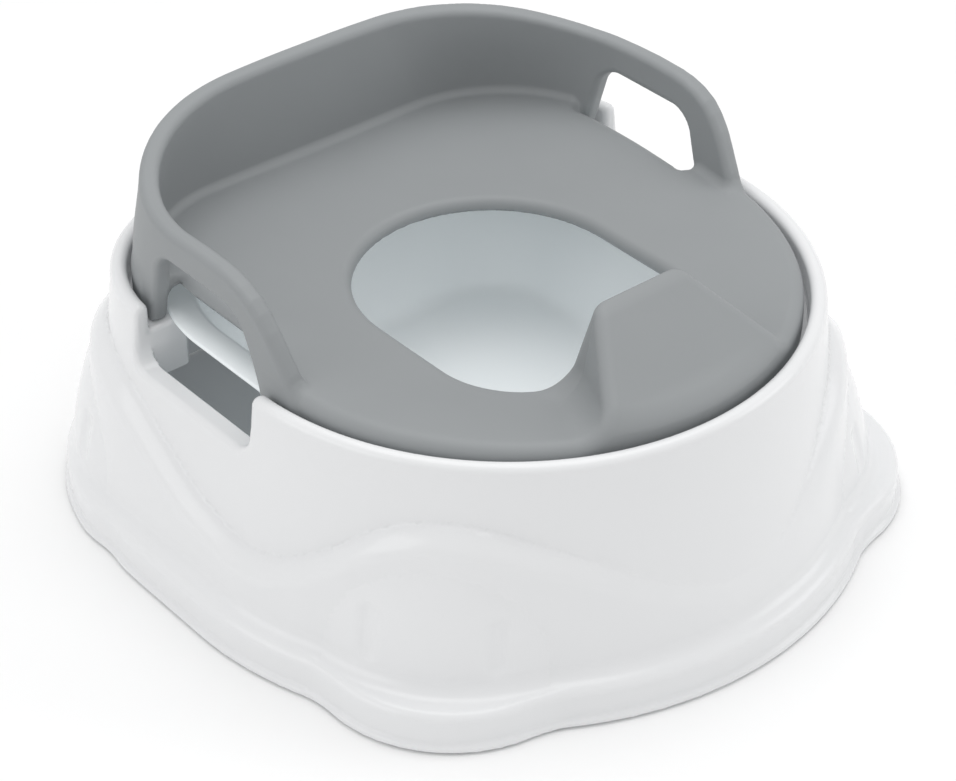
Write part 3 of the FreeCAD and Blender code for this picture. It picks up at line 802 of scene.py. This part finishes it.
feet = facing_out(grown("rubber_feet", tree, FOOT, out(copies), rubber))
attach(feet, "base")
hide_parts("foot_front_left", "foot_front_right", "foot_rear_left", "foot_rear_right")


# %% The grips under the deck
def grip_field(x, y, z):
    """Four soft bars with cross ribs."""
    middle = np.where(y < 17, -38.0, 72.0)
    side, along = np.abs(np.abs(x) - 108) - 3, np.abs(y - middle) - 20
    bar = np.hypot(np.maximum(side, 0), np.maximum(along, 0)) + np.minimum(
        np.maximum(side, along), 0) - 3
    ribs = 0.55 * np.cos((y - middle) * 2 * math.pi / 4.6)
    return both(bar, np.abs(z - 127.9) - 3.4 - 0.45 * ribs, 1.0)


grips = moulding("seat_grips", grip_field, (
    runs(-115.4, (-100, 0.9), (100, 4.0), (115.4, 0.9)),
    runs(-62.4, (-13.4, 0.8), (47.6, 4.0), (96.6, 0.8)), runs(123.1, (132.8, 0.9))))
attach(grips, "seat")
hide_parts(*["seat_grip_%s_%s" % (end, side) for end in ("front", "rear")
                     for side in ("left", "right")])
grips.data.materials.append(rubber)

# %% [markdown]
# ## Floor, light and camera
# The chair stands on a plain pale floor.  One very large soft light overhead makes the deck the
# brightest grey and leaves the inside of the backrest darker, and two weaker ones from the sides
# keep the white base from going flat.  The camera looks down over the chair's front right corner
# with a long lens.

# %% The floor
sheet = bpy.data.meshes.new("floor")
sheet.from_pydata([(-6, -6, 0), (6, -6, 0), (6, 6, 0), (-6, 6, 0)], [], [(0, 1, 2, 3)])
floor = link(sheet, "floor")
pale, tree, shader, where = new_finish("pale_floor", (0.93, 0.93, 0.93), 0.9)
into(tree, shader, Base_Color=tint(tree, noise(tree, where, 3), (0.92, 0.92, 0.92),
                                   (0.94, 0.94, 0.94)))
sheet.materials.append(pale)

# %% Soft studio light
scene = bpy.context.scene
world = bpy.data.worlds.new("studio")
world.use_nodes = True
world.node_tree.nodes["Background"].inputs["Color"].default_value = (1, 1, 1, 1)
world.node_tree.nodes["Background"].inputs["Strength"].default_value = 0.72
scene.world = world
scene.view_settings.view_transform = "Standard"


def soft_light(name, place, size, power):
    """A rectangular light that faces the chair."""
    light = bpy.data.objects.new(name, bpy.data.lights.new(name, "AREA"))
    scene.collection.objects.link(light)
    light.location = place
    light.rotation_euler = (-Vector(place)).to_track_quat("-Z", "Y").to_euler()
    light.data.shape = "RECTANGLE"
    light.data.size, light.data.size_y = size
    light.data.energy = power


soft_light("overhead", (0.25, 0.15, 1.9), (1.7, 1.7), 15)
soft_light("left_fill", (-1.7, 0.3, 0.9), (1.3, 0.9), 4)
soft_light("right_fill", (1.5, -1.1, 0.8), (0.9, 0.9), 4)
print("lights set")

# %% The camera
camera = bpy.data.objects.new("camera", bpy.data.cameras.new("camera"))
scene.collection.objects.link(camera)
camera.location = (-0.7365, -0.868, 0.8684)
camera.rotation_euler = Vector((0.5227, 0.6242, -0.5807)).to_track_quat("-Z", "Y").to_euler()
camera.data.sensor_width = 36
camera.data.lens = 102.25
scene.camera = camera
